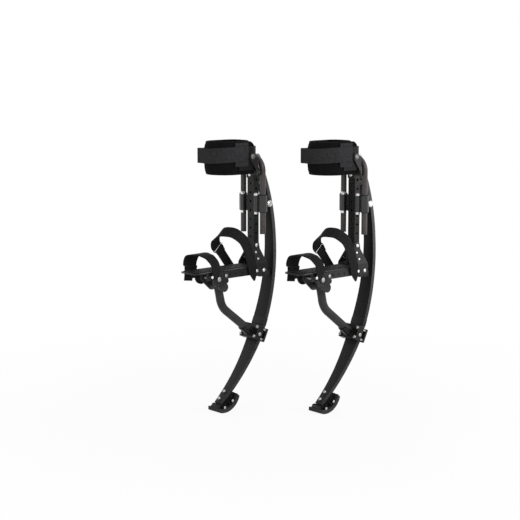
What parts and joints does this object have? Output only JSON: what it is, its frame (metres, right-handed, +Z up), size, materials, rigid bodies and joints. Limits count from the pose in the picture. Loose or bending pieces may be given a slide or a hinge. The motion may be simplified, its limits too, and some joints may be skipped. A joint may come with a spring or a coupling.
{
  "type": "jumping stilts",
  "caption": "Pair of jumping stilts with bowed leaf springs, swing arms, strapped foot plates, sliding U bars and padded knee cuffs.",
  "frame": {"origin": "on the ground, under the middle of the pair's outline", "axes": "+Z up, toes point along -X, the wearer's left is -Y"},
  "size_m": [0.6395, 0.4056, 0.936],
  "materials": {
    "black_steel": "black powder coat, satin",
    "black_aluminium": "black anodised, satin",
    "grey_steel": "dark warm grey coat, satin",
    "zinc_steel": "bright zinc",
    "dull_steel": "dull phosphate",
    "spring_composite": "black fibre composite, satin",
    "black_rubber": "matte",
    "grey_rubber": "matte",
    "black_plastic": "matte",
    "black_webbing": "woven webbing",
    "charcoal_webbing": "woven webbing",
    "pad_fabric": "padded cloth"
  },
  "bodies": {
    "frame": {"left_foot_plate": "black_steel", "left_grip_mat": "black_rubber", "left_heel_plates": "black_steel", "left_knee_bar": "black_aluminium", "left_slider_block": "black_aluminium", "left_cuff_bracket": "black_steel", "left_toe_strap": "black_webbing", "left_ankle_strap": "black_webbing", "left_pivot_brackets": "black_steel", "right_foot_plate": "black_steel", "right_grip_mat": "black_rubber", "right_heel_plates": "black_steel", "right_knee_bar": "black_aluminium", "right_slider_block": "black_aluminium", "right_cuff_bracket": "black_steel", "right_toe_strap": "black_webbing", "right_ankle_strap": "black_webbing", "right_pivot_brackets": "black_steel", "frame_bolts": "zinc_steel", "strap_bolts": "zinc_steel", "strap_rings": "zinc_steel", "slider_bolts": "zinc_steel", "slider_bushes": "black_plastic", "pivot_axles": "zinc_steel", "heel_bumpers": "grey_rubber", "spring_rests": "zinc_steel"},
    "left_arm": {"left_swing_arm": "black_steel", "left_clamp_front": "black_aluminium", "left_clamp_back": "black_steel", "left_clamp_bolts": "zinc_steel", "left_leaf_spring": "spring_composite", "left_spring_wrap": "black_webbing"},
    "left_spring_top": {"left_spring_clip": "zinc_steel", "left_clip_bolts": "zinc_steel"},
    "left_u_bar": {"left_u_bar": "grey_steel", "left_spring_hanger": "zinc_steel"},
    "left_hoof": {"left_hoof_sole": "grey_rubber", "left_hoof_core": "black_plastic", "left_hoof_bolts": "zinc_steel"},
    "left_cuff": {"left_cuff_shell": "black_plastic", "left_cuff_pad": "pad_fabric", "left_cuff_strap": "charcoal_webbing", "left_cuff_bolts": "dull_steel"},
    "right_arm": {"right_swing_arm": "black_steel", "right_clamp_front": "black_aluminium", "right_clamp_back": "black_steel", "right_clamp_bolts": "zinc_steel", "right_leaf_spring": "spring_composite", "right_spring_wrap": "black_webbing"},
    "right_spring_top": {"right_spring_clip": "zinc_steel", "right_clip_bolts": "zinc_steel"},
    "right_u_bar": {"right_u_bar": "grey_steel", "right_spring_hanger": "zinc_steel"},
    "right_hoof": {"right_hoof_sole": "grey_rubber", "right_hoof_core": "black_plastic", "right_hoof_bolts": "zinc_steel"},
    "right_cuff": {"right_cuff_shell": "black_plastic", "right_cuff_pad": "pad_fabric", "right_cuff_strap": "charcoal_webbing", "right_cuff_bolts": "dull_steel"}
  },
  "joints": [
    {"name": "left_arm_swing", "type": "hinge", "parent": "frame", "child": "left_arm", "pos_m": [0.03225, -0.1215, 0.474], "axis": [0, -1, 0], "range_deg": [0, 8], "stiffness_Nm_per_rad": 2000},
    {"name": "left_spring_flex", "type": "hinge", "parent": "left_arm", "child": "left_spring_top", "pos_m": [0.31225, -0.1215, 0.556], "axis": [0, 1, 0], "range_deg": [0, 10.9], "deforming": ["left_leaf_spring"]},
    {"name": "left_hoof_flex", "type": "hinge", "parent": "left_arm", "child": "left_hoof", "pos_m": [0.21341, -0.1215, 0.19959], "axis": [0, 1, 0], "range_deg": [0, 17.7], "deforming": ["left_leaf_spring"]},
    {"name": "left_ubar_slide", "type": "slide", "parent": "frame", "child": "left_u_bar", "axis": [0, 0, 1], "range_m": [0, 0.041]},
    {"name": "left_cuff_tilt", "type": "hinge", "parent": "frame", "child": "left_cuff", "pos_m": [0.16025, -0.1215, 0.884], "axis": [0, 1, 0], "range_deg": [-6, 6]},
    {"name": "right_arm_swing", "type": "hinge", "parent": "frame", "child": "right_arm", "pos_m": [-0.21975, 0.1215, 0.474], "axis": [0, -1, 0], "range_deg": [0, 8], "stiffness_Nm_per_rad": 2000},
    {"name": "right_spring_flex", "type": "hinge", "parent": "right_arm", "child": "right_spring_top", "pos_m": [0.06025, 0.1215, 0.556], "axis": [0, 1, 0], "range_deg": [0, 10.9], "deforming": ["right_leaf_spring"]},
    {"name": "right_hoof_flex", "type": "hinge", "parent": "right_arm", "child": "right_hoof", "pos_m": [-0.03859, 0.1215, 0.19959], "axis": [0, 1, 0], "range_deg": [0, 17.7], "deforming": ["right_leaf_spring"]},
    {"name": "right_ubar_slide", "type": "slide", "parent": "frame", "child": "right_u_bar", "axis": [0, 0, 1], "range_m": [0, 0.041]},
    {"name": "right_cuff_tilt", "type": "hinge", "parent": "frame", "child": "right_cuff", "pos_m": [-0.09175, 0.1215, 0.884], "axis": [0, 1, 0], "range_deg": [-6, 6]}
  ],
  "couplings": [
    {"joint": "left_spring_flex", "follows": "left_arm_swing", "ratio": 1.35},
    {"joint": "left_hoof_flex", "follows": "left_arm_swing", "ratio": 2.2},
    {"joint": "left_ubar_slide", "follows": "left_arm_swing", "m_per_rad": 0.293},
    {"joint": "right_spring_flex", "follows": "right_arm_swing", "ratio": 1.35},
    {"joint": "right_hoof_flex", "follows": "right_arm_swing", "ratio": 2.2},
    {"joint": "right_ubar_slide", "follows": "right_arm_swing", "m_per_rad": 0.293}
  ]
}
